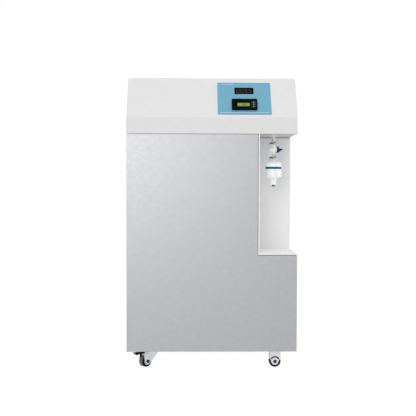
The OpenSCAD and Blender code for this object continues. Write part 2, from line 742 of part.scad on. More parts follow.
module swivel_plates() color("silver") for (row = [-1, 1]) translate([swivel_x, row * swivel_y, 0]) {
    castor_pad();
    translate([0, 0, crown_z + fork_t + 0.2]) rotate_extrude() polygon([[0, 0], [15, 0], [17, 1.2], [17, 2.6],
        [15.5, race_h / 2], [17, race_h - 2.6], [17, race_h], [0, race_h]]);
    translate([0, 0, crown_z - 4]) cylinder(r = king_r, h = race_h + 8);
    translate([0, 0, crown_z - 4.2]) cylinder(r = 8, h = 4);
}

module leg(outline) for (s = [-1, 1]) translate([0, s < 0 ? -leg_in : leg_out, 0])
    rotate([90, 0, 0]) linear_extrude(fork_t) polygon(outline);

module swivel_fork(row) color("lightsteelblue") at_swivel(row) difference() {
    union() {
        leg(rounded([[fork_front, crown_z + fork_t], [-castor_trail + 19, wheel_r],
            [-castor_trail + 4, wheel_r - 12], [-castor_trail - 6, wheel_r - 12],
            [-castor_trail - 16, wheel_r + 2], [-castor_trail - 16, crown_z + fork_t]], [3, 8, 7, 7, 8, 3]));
        translate([0, 0, crown_z]) cylinder(r = fork_half, h = fork_t);
        block([-fork_half, -leg_out, crown_z], [fork_front - 4, leg_out, crown_z + fork_t]);
    }
    translate([0, 0, crown_z - 1]) cylinder(r = king_r + fit, h = fork_t + 2);
    rod_y([-castor_trail, -leg_out - 1, wheel_r], axle_r + fit, 2 * leg_out + 2);
    rod_y([pedal_x, -leg_out - 1, pedal_z], pin_r + fit, 2 * leg_out + 2);
}
module swivel_fork_front() swivel_fork(-1);
module swivel_fork_rear() swivel_fork(1);

// The cam under the pin clears the tyre at rest and hugs it once the pedal is pressed down.
module brake_profile() difference() {
    union() {
        polygon(rounded([[4.2, -5.5], [4.2, 3], [-4, 6], [-13, 9.5], [-lever_l, 9.5], [-lever_l, 2.5],
            [-13, 2.5], [-7.5, -1], [-6.5, -8]], [1, 2, 2, 2, 1.5, 1.5, 2, 1, 0.5]));
        polygon(strip([[6 - lever_l, 4.2], [-1 - lever_l, 1.5], [-10 - lever_l, 10]], pedal_t));
    }
    translate([-castor_trail - pedal_x, wheel_r - pedal_z]) circle(r = wheel_r + 1);
    rotate(-press) translate([-castor_trail - pedal_x, wheel_r - pedal_z]) circle(r = wheel_r + 0.5);
}
module brake_pedal(row) color([0.1, 0.1, 0.12]) at_swivel(row) {
    rod_y([pedal_x, -leg_out + play, pedal_z], pin_r, 2 * leg_out - 2 * play);
    rod_y([pedal_x, -leg_in + play, pedal_z], pin_r + 1.5, 2 * leg_in - 2 * play);
    translate([pedal_x, 0, pedal_z]) rotate([90, 0, 0])
        linear_extrude(pedal_w, center = true) brake_profile();
}
module brake_pedal_front() brake_pedal(-1);
module brake_pedal_rear() brake_pedal(1);

module arch_window() translate([0, wheel_r]) intersection() {
    difference() {
        circle(r = wheel_r - 2.5);
        circle(r = rim_r);
    }
    polygon([[0, 0], [wheel_d, 0.65 * wheel_d], [-wheel_d, 0.65 * wheel_d]]);
}

module fixed_forks() color("lightsteelblue") for (row = [-1, 1]) at_fixed(row) difference() {
    union() {
        castor_pad();
        leg(rounded([[-fork_half, castor_h - fork_t + 1], [-fork_half, wheel_r + 13], [-14, wheel_r + 1],
            [-lobe, wheel_r - 13], [lobe, wheel_r - 13], [14, wheel_r + 1], [fork_half, wheel_r + 13],
            [fork_half, castor_h - fork_t + 1]], [0, 4, 6, 7, 7, 6, 4, 0]));
        for (y = [-leg_out - skirt_t, leg_out]) face_front(y, skirt_t) difference() {
            polygon(span(-fork_half, fork_half, wheel_r + 12, castor_h - fork_t + 1));
            translate([0, wheel_r]) circle(r = wheel_r - 2);
        }
    }
    for (y = [-leg_out - 0.1, leg_in - 0.1]) face_front(y, fork_t + 0.2) arch_window();
    rod_y([0, -leg_out - 1, wheel_r], axle_r + fit, 2 * leg_out + 2);
}

module dome_nut() {
    cylinder(r = axle_r + 3, h = 2.5, $fn = 6);
    rotate_extrude() polygon(concat([[0, 0]],
        [for (k = [0:6]) [(axle_r + 2) * cos(15 * k), 2.5 + 4 * sin(15 * k)]]));
}
module axle() {
    rod_y([0, -leg_out - 1, wheel_r], axle_r, 2 * leg_out + 2);
    for (turn = [0, 180])
        translate([0, 0, wheel_r]) rotate([90, 0, turn]) translate([0, 0, leg_out]) dome_nut();
}
module swivel_axle(row) color([0.3, 0.33, 0.38]) at_swivel(row) translate([-castor_trail, 0, 0]) axle();
module swivel_axle_front() swivel_axle(-1);
module swivel_axle_rear() swivel_axle(1);
module fixed_axles() color([0.3, 0.33, 0.38]) for (row = [-1, 1]) at_fixed(row) axle();

module wheel_hub() color("white") translate([0, 0, wheel_r]) rotate([90, 0, 0]) rotate_extrude() polygon([
    [axle_r + fit, -leg_in + play], [axle_r + 4, -leg_in + play], [axle_r + 4, -3], [rim_r - 3.5, -3],
    [rim_r - 2.5, -wheel_w / 2 + 1], [rim_r - fit, -wheel_w / 2 + 1], [rim_r - fit, wheel_w / 2 - 1],
    [rim_r - 2.5, wheel_w / 2 - 1], [rim_r - 3.5, 3], [axle_r + 4, 3], [axle_r + 4, leg_in - play],
    [axle_r + fit, leg_in - play]]);

module wheel_tyre() color([0.1, 0.1, 0.12]) translate([0, 0, wheel_r]) rotate([90, 0, 0]) rotate_extrude()
    polygon(rounded(span(rim_r, wheel_r, -wheel_w / 2, wheel_w / 2), [1, 4, 4, 1], 4));

module hub_swivel_front() at_swivel(-1) translate([-castor_trail, 0, 0]) wheel_hub();
module hub_swivel_rear() at_swivel(1) translate([-castor_trail, 0, 0]) wheel_hub();
module hub_fixed_front() at_fixed(-1) wheel_hub();
module hub_fixed_rear() at_fixed(1) wheel_hub();
module tyre_swivel_front() at_swivel(-1) translate([-castor_trail, 0, 0]) wheel_tyre();
module tyre_swivel_rear() at_swivel(1) translate([-castor_trail, 0, 0]) wheel_tyre();
module tyre_fixed_front() at_fixed(-1) wheel_tyre();
module tyre_fixed_rear() at_fixed(1) wheel_tyre();

module castor_bolts() color("silver") at_castors() at_bolts() {
    translate([0, 0, castor_h - fork_t - 4]) cylinder(r = 5.5, h = 4, $fn = 6);
    translate([0, 0, castor_h - fork_t - 1]) cylinder(r = bolt_d / 2, h = fork_t + tray_t + 8);
    translate([0, 0, tray_top]) cylinder(r = 5.5, h = 5, $fn = 6);
}

// Rear connections
module power_inlet() color([0.12, 0.12, 0.13]) translate([inlet_x, 0, inlet_z]) {
    difference() {
        union() {
            face_front(rear_y, 3) polygon(rounded(box(40, 82), 4));
            face_front(inner_rear_y - 34, sheet + 35) polygon(rounded(box(28, 70), 3));
        }
        face_front(rear_y - 16, 30) polygon(rounded(
            [[-11.7, -26], [11.7, -26], [11.7, -14], [7.5, -9.5], [-7.5, -9.5], [-11.7, -14]], 1.5));
        rod_x([-10, rocker_y, rocker_z], rocker_r + play, 20);
        rod_x([-12.5, rocker_y, rocker_z], 1.5 + fit, 25);
    }
    for (x = [-7, 7]) block([x - 1, rear_y - 17, -22], [x + 1, rear_y - 4, -17]);
    block([-1, rear_y - 17, -15.5], [1, rear_y - 4, -11]);
}

module rocker_switch() color([0.55, 0.08, 0.08])
    translate([inlet_x, rocker_y, inlet_z + rocker_z]) rotate([9, 0, 0]) {
        intersection() {
            rod_x([-9.7, 0, 0], rocker_r, 19.4);
            face_side(-12, 24) polygon([[-20, -20], [3.4, -20], [6.4, 0], [3.4, 20], [-20, 20]]);
        }
        rod_x([-12.2, 0, 0], 1.5, 24.4);
    }

module port_fittings() color("whitesmoke") for (x = port_xs) translate([x, 0, port_z]) difference() {
    union() {
        rod_y([0, inner_rear_y - port_stub, 0], 8, port_stub + sheet + 1);
        translate([0, rear_y, 0]) rotate([-90, 0, 0]) cylinder(r = 13, h = 7, $fn = 6);
        translate([0, inner_rear_y - 7, 0]) rotate([-90, 0, 0]) cylinder(r = 13, h = 7, $fn = 6);
        rod_y([0, rear_y + 6, 0], 9, 12);
        rod_y([0, rear_y + 19, 0], 8, 3);
        rod_y([0, rear_y + 17, 0], 6.5, 3);
    }
    rod_y([0, rear_y + 2, 0], port_bore / 2, 30);
    rod_y([0, inner_rear_y - port_stub + 4, 0], 3, 60);
}

// Water treatment
module mount_panel() color("gainsboro") difference() {
    union() {
        block([-side_x + sheet, mount_y, tray_top], [side_x - sheet, mount_y + sheet, head_z]);
        block([-side_x + sheet + tray_t, mount_y, tray_top],
            [side_x - sheet - tray_t, mount_y + 20, tray_top + sheet]);
    }
    block([-side_x, mount_y - 1, base_z], [-side_x + sheet + tray_t, mount_y + 30, base_z + tray_rim + 1]);
    block([side_x - sheet - tray_t, mount_y - 1, base_z], [side_x, mount_y + 30, base_z + tray_rim + 1]);
    for (p = [[riser_x, pf_port_z], [riser_x, tee_z], [duct_x, ro_zs[1]]])
        rod_y([p[0], mount_y - 1, p[1]], tube_r + 2, sheet + 2);
}

module at_heads() for (k = [0:2]) translate([pf_x0 + k * pf_pitch, pf_y, pf_z]) children();

module prefilter_heads() color([0.12, 0.14, 0.17]) {
    at_heads() {
        cylinder(r = bowl_d / 2 + 2, h = 50);
        block([-32, 0, 8], [32, mount_y - pf_y, 50]);
        translate([0, 0, 49]) cylinder(r = 10, h = 8);
    }
    rod_x([pf_x0 - port_reach, pf_y, pf_port_z], 14, 2 * pf_pitch + 2 * port_reach);
}

module prefilter_bowls() color([0.25, 0.45, 0.7]) at_heads() {
    translate([0, 0, -bowl_h]) rotate_extrude() polygon(rounded([[0, 0], [bowl_d / 2 - 8, 0],
        [bowl_d / 2 - 4, bowl_h - 26], [bowl_d / 2 + 4, bowl_h - 22], [bowl_d / 2 + 4, bowl_h], [0, bowl_h]],
        [0, 14, 0, 2, 1, 0], 4));
    for (k = [0:11]) rotate(30 * k) block([bowl_d / 2 + 2, -4, -21], [bowl_d / 2 + 6, 4, -1]);
    translate([0, 0, -bowl_h - 6]) cylinder(r = 9, h = 8, $fn = 6);
}

module membrane_housings() color("white") for (z = ro_zs) translate([0, ro_y, z]) {
    rod_x([ro_x0, 0, 0], ro_r, ro_x1 - ro_x0);
    rod_x([ro_x0 - ro_stub, 0, 0], 8, ro_stub + 1);
    rod_x([ro_x1 - 1, 0, 0], 8, ro_stub + 1);
    difference() {
        rod_x([ro_x1 - 42, 0, 0], ro_r + 3, 36);
        for (k = [0:17]) rotate([20 * k, 0, 0]) rod_x([ro_x1 - 43, 0, ro_r + 3.4], 2, 38);
    }
}

module housing_clip() difference() {
    union() {
        rod_x([0, 0, 0], ro_r + 2.6, 20);
        block([0, ro_r - 8, -24], [20, mount_y - ro_y, 24]);
    }
    rod_x([-1, 0, 0], ro_r + fit, 22);
    block([-1, -ro_r - 10, -12], [21, -ro_r + 12, 12]);
}
module housing_clips() color([0.2, 0.22, 0.25])
    for (x = [ro_x0 + 70, ro_x1 - 110]) for (z = ro_zs) translate([x, ro_y, z]) housing_clip();

module booster_pump() color([0.2, 0.21, 0.23]) {
    translate([pump_x, pump_y, tray_top + feet_h]) block([-70, -45, 0], [70, 45, 3]);
    translate([pump_x, pump_y, tray_top + feet_h + 2]) block([-56, -22, 0], [4, 22, 20]);
    translate([pump_x, pump_y, pump_axis_z]) {
        rod_x([-66, 0, 0], motor_d / 2, 81);
        rod_x([-72, 0, 0], motor_d / 2 - 14, 7);
        for (k = [0:6]) rod_x([-58 + 9 * k, 0, 0], motor_d / 2 + 1.5, 4);
        block([14, -45, -45], [40, 45, 45]);
        rod_x([39, 0, 0], 40, 27);
        for (a = [45:90:315]) rotate([a, 0, 0]) rod_x([39, 0, 52], 5, 6);
    }
    for (x = [27, 53]) translate([pump_x + x, pump_y, pump_axis_z + 20]) cylinder(r = 8, h = 39);
}

module pump_feet() color([0.1, 0.1, 0.1]) for (i = [-1, 1]) for (j = [-1, 1])
    translate([pump_x + i * 58, pump_y + j * 34, tray_top]) cylinder(r = 9, h = feet_h);

module di_columns() color([0.85, 0.87, 0.9]) for (x = column_xs) translate([x, bay_y, tray_top + plinth_h]) {
    translate([0, 0, -plinth_h]) cylinder(r = 12, h = plinth_h + 1);
    cylinder(r = column_r + 3, h = 30);
    cylinder(r = column_r, h = column_h);
    translate([0, 0, column_h - 20]) cylinder(r = column_r + 3, h = 50);
    for (s = [-15, 15]) translate([s, 0, column_h + 29]) cylinder(r = 8, h = 15);
}

module solenoid_valves() color([0.15, 0.16, 0.18]) for (x = port_xs) translate([x, valve_y, port_z]) {
    block([-15, -20, -15], [15, 14, 15]);
    rod_y([0, 13, 0], 8, 15);
    translate([0, 0, 14]) cylinder(r = 8, h = 8);
    translate([0, -3, -44]) cylinder(r = 14, h = 30);
    block([-9, 4, -40], [9, 19, -22]);
}

module power_supply() color("silver") translate([supply_x, mount_y + sheet, supply_z]) difference() {
    union() {
        block([-supply_w / 2, 0, 0], [supply_w / 2, supply_d, supply_h]);
        block([-supply_w / 2 - 10, 0, -10], [supply_w / 2 + 10, 2, supply_h + 10]);
    }
    for (k = [1:10]) translate([0, supply_d - 4, 19 + k * (supply_h - 50) / 10])
        block([-supply_w / 2 + 15, 0, 0], [supply_w / 2 - 15, 6, 5]);
    block([-supply_w / 2 + 10, supply_d - 18, -1], [supply_w / 2 - 10, supply_d + 2, 14]);
}

module water_tubes() color([0.93, 0.94, 0.95]) {
    valve_end_y = valve_y + 28;
    port_end_y = inner_rear_y - port_stub;
    for (x = port_xs) hose([[x, valve_end_y, port_z], [x, port_end_y, port_z]], tube_r);
    hose([[port_xs[0], valve_y, valve_top_z], [port_xs[0], valve_y, pf_port_z], [riser_x, valve_y, pf_port_z],
        [riser_x, pf_y, pf_port_z], [pf_x0 - port_reach, pf_y, pf_port_z]], tube_r);
    hose([[port_xs[1], valve_y, valve_top_z], [port_xs[1], valve_y, tee_z], [riser_x, valve_y, tee_z],
        [riser_x, ro_y + tee_w / 2, tee_z]], tube_r);
    for (k = [0, 1]) hose([[ro_x0 - ro_stub, ro_y, ro_zs[k]], [riser_x, ro_y, ro_zs[k]],
        [riser_x, ro_y, tee_z + (2 * k - 1) * tee_w / 2]], tube_r);
    translate([riser_x, ro_y, tee_z]) cube(tee_w, center = true);
    hose([[pf_x2 + port_reach, pf_y, pf_port_z], [duct_x, pf_y, pf_port_z], [duct_x, pf_y, duct_z],
        [pump_x + 27, pf_y, duct_z], [pump_x + 27, pump_y, duct_z], [pump_x + 27, pump_y, pump_port_z]],
        tube_r);
    hose([[pump_x + 53, pump_y, pump_port_z], [pump_x + 53, pump_y, duct_z + 45],
        [duct_x, pump_y, duct_z + 45], [duct_x, pump_y, ro_zs[0]], [duct_x, ro_y, ro_zs[0]],
        [ro_x1 + ro_stub, ro_y, ro_zs[0]]], tube_r);
    hose([[ro_x1 + ro_stub, ro_y, ro_zs[1]], [duct_x, ro_y, ro_zs[1]], [duct_x, bay_y, ro_zs[1]],
        [column_xs[0] - 15, bay_y, ro_zs[1]], [column_xs[0] - 15, bay_y, column_port_z]], tube_r);
    hose([[column_xs[0] + 15, bay_y, column_port_z], [column_xs[0] + 15, bay_y, column_port_z + 45],
        [column_xs[1] - 15, bay_y, column_port_z + 45], [column_xs[1] - 15, bay_y, column_port_z]], tube_r);
    hose([[tap_x, bay_y, column_port_z], [tap_x, bay_y, head_run_z], [tap_x, tap_y, head_run_z],
        [tap_x, tap_y, bulkhead_top_z]], tube_r);
}

base_tray();
left_side_panel();
right_side_panel();
rear_panel();
panel_screws();
recess_liner();
head_floor();
head_cover();
hinge_brackets();
door_catches();
front_panel();
control_plate();
display_module();
meter_case();
meter_window();
meter_key_1();
meter_key_2();
meter_key_3();
control_board();
outlet_bulkhead();
feed_tube();
hose_clamps();
tap_body();
tap_key();
link_tube();
filter_capsule();
filter_band();
filter_cap();
swivel_plates();
swivel_fork_front();
swivel_fork_rear();
brake_pedal_front();
brake_pedal_rear();
fixed_forks();
swivel_axle_front();
swivel_axle_rear();
fixed_axles();
hub_swivel_front();
hub_swivel_rear();
hub_fixed_front();
hub_fixed_rear();
tyre_swivel_front();
tyre_swivel_rear();
tyre_fixed_front();
tyre_fixed_rear();
castor_bolts();
power_inlet();
rocker_switch();
port_fittings();
mount_panel();
prefilter_heads();
prefilter_bowls();
membrane_housings();
housing_clips();
booster_pump();
pump_feet();
di_columns();
solenoid_valves();
power_supply();
water_tubes();
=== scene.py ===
import json
import math

import bmesh
import bpy
from mathutils import Matrix, Vector


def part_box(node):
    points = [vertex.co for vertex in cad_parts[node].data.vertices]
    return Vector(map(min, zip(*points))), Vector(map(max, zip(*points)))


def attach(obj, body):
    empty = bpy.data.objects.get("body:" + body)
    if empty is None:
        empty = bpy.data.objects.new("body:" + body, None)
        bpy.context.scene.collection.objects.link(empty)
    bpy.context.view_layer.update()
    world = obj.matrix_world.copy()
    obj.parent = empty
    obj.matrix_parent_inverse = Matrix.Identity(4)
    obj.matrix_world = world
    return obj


# Metres, in the frame of the solids: X to the right, Y to the back, Z up.
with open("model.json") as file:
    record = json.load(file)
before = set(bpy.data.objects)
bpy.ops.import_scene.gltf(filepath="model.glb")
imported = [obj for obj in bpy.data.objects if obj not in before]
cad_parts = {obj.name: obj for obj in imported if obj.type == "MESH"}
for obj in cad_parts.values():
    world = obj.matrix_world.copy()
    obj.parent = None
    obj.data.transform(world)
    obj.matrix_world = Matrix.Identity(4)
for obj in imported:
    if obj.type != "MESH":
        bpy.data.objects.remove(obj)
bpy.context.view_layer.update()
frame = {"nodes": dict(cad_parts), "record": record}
nodes = frame["nodes"]
scene = bpy.context.scene

MM = 0.001
FRONT_Y = -0.240
FOLD_Z = 0.949
SLOPE = math.atan2(158, 102)
PLATE_X = 0.122
PLATE_W, PLATE_FOOT, PLATE_H, PLATE_T = 0.202, 0.013, 0.152, 0.0015
DISPLAY_RISE = PLATE_FOOT + 0.112
METER_RISE = PLATE_FOOT + 0.044
METER_FACE = PLATE_T + 0.0068
LCD_AT = (-0.004, METER_RISE - 0.0025)
LCD_TOP = METER_FACE - 0.0006
KEY_X, KEY_Y, KEY_PITCH = 0.034, METER_RISE - 0.0022, 0.0102
KEY_TOP = METER_FACE + 0.0014
PRINT_T = 0.0001
RULE_INSET, RULE_H, RULE_R = 0.0085, 0.0012, 0.0005
PORT_XS, PORT_Z, REAR_Y, RING_STAND = (-0.240, -0.190), 0.180, 0.214, 0.011
SWIVEL_X, SWIVEL_Y = -0.236, 0.161
TURN_FRONT, TURN_REAR = 43, -20
TREAD_HALF = 0.0125
CAM_LIGHT_Z0, CAM_LIGHT_Z1 = 0.03, 0.0512
RECESS_X0, RECESS_X1, RECESS_BACK = 0.1772, 0.3183, 0.0
SHADE_STRIP_D, SHADE_STRIP_H = 0.003, 0.0045
DOOR_SEAL_X0, DOOR_SEAL_X1, DOOR_SEAL_Y, DOOR_SEAL_Z = -0.317, 0.172, -0.2385, 0.889
SEAL_GAP = 0.0004
DOOR_SEAL_D, DOOR_SEAL_H = 0.006, 0.0025
ROCKER_AT, ROCKER_TURN = Vector((-0.215, 0.213, 0.333)), math.radians(9)


def linear(r, g, b):
    """A colour given as 0 to 255 values, as the shader wants it."""
    return tuple((c / 255 / 12.92) if c <= 10 else ((c / 255 + 0.055) / 1.055) ** 2.4 for c in (r, g, b))


# Materials

class Look:
    """One procedural material, built up from noise in the piece's own coordinates."""

    def __init__(self, name, colour, rough, metal=0.0, **sockets):
        self.mat = bpy.data.materials.new(name)
        self.mat.use_nodes = True
        self.tree = self.mat.node_tree
        self.bsdf = self.tree.nodes["Principled BSDF"]
        self.colour = linear(*colour)
        self.rough = rough
        self.bsdf.inputs["Base Color"].default_value = (*self.colour, 1)
        self.bsdf.inputs["Roughness"].default_value = rough
        self.bsdf.inputs["Metallic"].default_value = metal
        for key, value in sockets.items():
            self.bsdf.inputs[key.replace("_", " ")].default_value = value
        self.coords = self.tree.nodes.new("ShaderNodeTexCoord").outputs["Object"]
        self.paint = None
        self.gloss = None
        self.normal = None

    def node(self, kind, **settings):
        made = self.tree.nodes.new(kind)
        for key, value in settings.items():
            setattr(made, key, value)
        return made

    def link(self, source, target):
        self.tree.links.new(source, target)

    def math(self, operation, a, b=None, c=None):
        made = self.node("ShaderNodeMath", operation=operation)
        for k, value in enumerate((a, b, c)):
            if isinstance(value, (int, float)):
                made.inputs[k].default_value = value
            elif value is not None:
                self.link(value, made.inputs[k])
        return made.outputs[0]

    def noise(self, scale, detail=2.0, stretch=None):
        source = self.coords
        if stretch:
            mapping = self.node("ShaderNodeMapping")
            mapping.inputs["Scale"].default_value = stretch
            self.link(source, mapping.inputs["Vector"])
            source = mapping.outputs["Vector"]
        made = self.node("ShaderNodeTexNoise")
        made.inputs["Scale"].default_value = scale
        made.inputs["Detail"].default_value = detail
        self.link(source, made.inputs["Vector"])
        return made.outputs["Fac"]

    def ranged(self, value, a, b, lo, hi):
        made = self.node("ShaderNodeMapRange")
        self.link(value, made.inputs["Value"])
        for key, number in (("From Min", a), ("From Max", b), ("To Min", lo), ("To Max", hi)):
            made.inputs[key].default_value = number
        return made.outputs["Result"]

    def mix(self, factor, a, b):
        made = self.node("ShaderNodeMix", data_type="RGBA")
        self.link(factor, made.inputs["Factor"])
        for key, value in (("A", a), ("B", b)):
            socket = [s for s in made.inputs if s.name == key and s.type == "RGBA"][0]
            if isinstance(value, tuple):
                socket.default_value = (*value, 1)
            else:
                self.link(value, socket)
        return [s for s in made.outputs if s.type == "RGBA"][0]

    def tint(self, amount):
        return tuple(min(c * amount, 1) for c in self.colour)

    def vary(self, spread, scale, stretch=None, gloss=0.05):
        """Cloudy changes of tone and gloss."""
        cloud = self.noise(scale, 3.0, stretch)
        share = self.ranged(cloud, 0.3, 0.7, 0, 1)
        self.paint = self.mix(share, self.tint(1 - spread), self.tint(1 + spread))
        self.gloss = self.ranged(self.noise(scale * 2.3, 3.0, stretch), 0.3, 0.7, self.rough - gloss,
                                 self.rough + gloss)
        return self

    def speckle(self, colour, scale, share):
        """Fine flecks of another colour."""
        fleck = self.ranged(self.noise(scale, 1.0), 0.62, 0.7, 0, share)
        self.paint = self.mix(fleck, self.paint or self.colour, linear(*colour))
        return self

    def grain(self, scale, depth, strength=0.5, stretch=None, detail=2.0):
        """Fine relief, depth in millimetres."""
        return self.relief(self.noise(scale, detail, stretch), depth, strength)

    def relief(self, height, depth, strength=0.5):
        bump = self.node("ShaderNodeBump")
        bump.inputs["Strength"].default_value = strength
        bump.inputs["Distance"].default_value = depth * MM
        self.link(height, bump.inputs["Height"])
        if self.normal:
            self.link(self.normal, bump.inputs["Normal"])
        self.normal = bump.outputs["Normal"]
        return self

    def wear(self, colour, radius, share, gloss=0.0):
        """Rubbed edges, broken up by noise, radius in millimetres."""
        bevel = self.node("ShaderNodeBevel", samples=4)
        bevel.inputs["Radius"].default_value = radius * MM
        flat = self.node("ShaderNodeNewGeometry").outputs["Normal"]
        dot = self.node("ShaderNodeVectorMath", operation="DOT_PRODUCT")
        self.link(bevel.outputs["Normal"], dot.inputs[0])
        self.link(flat, dot.inputs[1])
        edge = self.ranged(dot.outputs["Value"], 0.985, 0.8, 0, 1)
        rub = self.ranged(self.noise(70, 4.0), 0.42, 0.62, 0, share)
        mask = self.math("MULTIPLY", edge, rub)
        self.paint = self.mix(mask, self.paint or self.colour, linear(*colour))
        if gloss and self.gloss:
            self.gloss = self.math("ADD", self.gloss, self.math("MULTIPLY", mask, gloss))
        return self

    def soften(self, radius):
        """Edges that catch the light as if they were slightly rounded."""
        bevel = self.node("ShaderNodeBevel", samples=4)
        bevel.inputs["Radius"].default_value = radius * MM
        self.normal = bevel.outputs["Normal"]
        return self

    def band(self, axis, a, b, colour):
        """Another colour where the coordinate lies between a and b."""
        split = self.node("ShaderNodeSeparateXYZ")
        self.link(self.coords, split.inputs[0])
        above = self.math("GREATER_THAN", split.outputs[axis], a)
        below = self.math("LESS_THAN", split.outputs[axis], b)
        inside = self.math("MULTIPLY", above, below)
        self.paint = self.mix(inside, self.paint or self.colour, linear(*colour))
        return self

    def done(self):
        for source, key in ((self.paint, "Base Color"), (self.gloss, "Roughness"), (self.normal, "Normal")):
            if source:
                self.link(source, self.bsdf.inputs[key])
        return self.mat


def steel(name, colour, rough, **sockets):
    return Look(name, colour, rough, 1.0, **sockets).soften(0.5).vary(0.10, 45, gloss=0.09) \
        .grain(420, 0.03, 0.35)


def moulding(name, colour, rough, spread=0.05, **sockets):
    return Look(name, colour, rough, **sockets).soften(0.5).vary(spread, 18, gloss=0.06) \
        .grain(1500, 0.02, 0.3)


# Grey laid on the tyres' treads: partly dust, partly painted sheen where the tread catches the light.
SHEEN_DUST_GREY = (140, 139, 130)


def tyre(node, turn, most_sheen_and_dust):
    """Black rubber with lighter grey along the middle of the tread, partly dust and partly painted sheen
    where the tread catches the light; turn is the wheel's heading in degrees.
    """
    look = Look(node, (10, 10, 9), 0.66, Specular_IOR_Level=0.12).soften(0.6).vary(0.18, 60, gloss=0.1)
    look.speckle((60, 58, 54), 260, 0.15)
    lo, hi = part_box(node)
    offset = look.node("ShaderNodeVectorMath", operation="SUBTRACT")
    look.link(look.coords, offset.inputs[0])
    offset.inputs[1].default_value = (lo + hi) / 2

    def along_axle(vector):
        dot = look.node("ShaderNodeVectorMath", operation="DOT_PRODUCT")
        look.link(vector, dot.inputs[0])
        dot.inputs[1].default_value = (-math.sin(math.radians(turn)), math.cos(math.radians(turn)), 0)
        return look.math("ABSOLUTE", dot.outputs["Value"])

    outward = along_axle(look.tree.nodes["Texture Coordinate"].outputs["Normal"])
    middle = look.ranged(along_axle(offset.outputs["Vector"]), 0.3 * TREAD_HALF, 0.95 * TREAD_HALF, 1, 0)
    patches = look.ranged(look.noise(90, 3.0), 0.3, 0.7, 0.6 * most_sheen_and_dust, most_sheen_and_dust)
    # Painted sheen with dust: lighter grey on faces that look away from the axle, across the middle of the
    # tread, in patches.
    tread = look.math("MULTIPLY", look.ranged(outward, 0.1, 0.5, 1, 0), middle)
    dusty_sheen = look.math("MULTIPLY", tread, patches)
    look.paint = look.mix(dusty_sheen, look.paint, linear(*SHEEN_DUST_GREY))
    return look.grain(600, 0.06, 0.5).done()


def galvanised(name, colour, rough):
    """Zinc-coated sheet, whose crystals differ a little in tone and gloss."""
    look = Look(name, colour, rough, 1.0).soften(0.5)
    crystals = look.node("ShaderNodeTexVoronoi")
    crystals.inputs["Scale"].default_value = 95
    look.link(look.coords, crystals.inputs["Vector"])
    channels = look.node("ShaderNodeSeparateColor")
    look.link(crystals.outputs["Color"], channels.inputs[0])
    look.paint = look.mix(channels.outputs[0], look.tint(0.95), look.tint(1.04))
    look.gloss = look.ranged(channels.outputs[1], 0, 1, rough - 0.05, rough + 0.06)
    return look.grain(500, 0.03, 0.3)


def powder_coat(name, colour, rough, metal=0.0, spread=0.014, **sockets):
    return Look(name, colour, rough, metal, **sockets).soften(0.8).vary(spread, 50, gloss=0.03) \
        .grain(1100, 0.03, 0.25)


LOOKS = {
    "white_paint": powder_coat("white_paint", (236, 236, 236), 0.45).wear((196, 197, 198), 1.0, 0.5).done(),
    "silver_paint": powder_coat("silver_paint", (169, 170, 173), 0.446, 0.888, 0.028)
        .wear((222, 223, 224), 1.0, 0.5).done(),
    "head_white": powder_coat("head_white", (219, 218, 218), 0.6, Specular_IOR_Level=0.4)
        .wear((238, 238, 237), 1.0, 0.4).done(),
    "zinc_steel": steel("zinc_steel", (206, 210, 214), 0.36).wear((150, 152, 156), 0.8, 0.5).done(),
    "dark_steel": steel("dark_steel", (92, 99, 112), 0.42).wear((150, 154, 160), 0.6, 0.5).done(),
    "aluminium": steel("aluminium", (200, 202, 204), 0.38).wear((226, 227, 228), 0.6, 0.5).done(),
    "blue_plate": Look("blue_plate", (89, 157, 185), 0.32).soften(0.4).vary(0.018, 60, gloss=0.05)
        .grain(900, 0.02, 0.25).wear((150, 196, 212), 0.5, 0.6).done(),
    "black_plastic": moulding("black_plastic", (4, 6, 9), 0.45, Specular_IOR_Level=0.02).done(),
    "dark_plastic": moulding("dark_plastic", (42, 46, 52), 0.42).done(),
    "lcd_green": Look("lcd_green", (118, 143, 56), 0.25, Specular_IOR_Level=0.15, Emission_Strength=0.08,
        Emission_Color=(*linear(160, 200, 80), 1)).vary(0.07, 60, gloss=0.04).grain(3000, 0.01, 0.2).done(),
    "key_grey": moulding("key_grey", (44, 48, 53), 0.5, Specular_IOR_Level=0.2).done(),
    "board_green": Look("board_green", (20, 92, 52), 0.35).vary(0.15, 120, gloss=0.1)
        .speckle((190, 170, 90), 900, 0.8).grain(700, 0.05).done(),
    "silicone": Look("silicone", (232, 235, 237), 0.24, Transmission_Weight=0.25, IOR=1.41).soften(2.0)
        .vary(0.03, 40).grain(500, 0.03, 0.3).done(),
    "white_plastic": moulding("white_plastic", (240, 240, 238), 0.34, 0.02)
        .wear((214, 214, 210), 0.6, 0.4).done(),
    "teal_plastic": moulding("teal_plastic", (0, 92, 112), 0.4, Specular_IOR_Level=0.1).done(),
    "blue_plastic": moulding("blue_plastic", (4, 52, 112), 0.36, Specular_IOR_Level=0.15)
        .wear((50, 104, 166), 0.5, 0.4).done(),
    "slate_plastic": moulding("slate_plastic", (60, 74, 94), 0.36).done(),
    "rubber_black": Look("rubber_black", (26, 26, 27), 0.7).vary(0.15, 60, gloss=0.08)
        .grain(700, 0.05, 0.5).done(),
    "bowl_blue": Look("bowl_blue", (48, 92, 160), 0.16, Coat_Weight=0.3).vary(0.08, 14, gloss=0.04)
        .grain(300, 0.05, 0.25).done(),
    "red_plastic": moulding("red_plastic", (158, 26, 22), 0.3).done(),
}
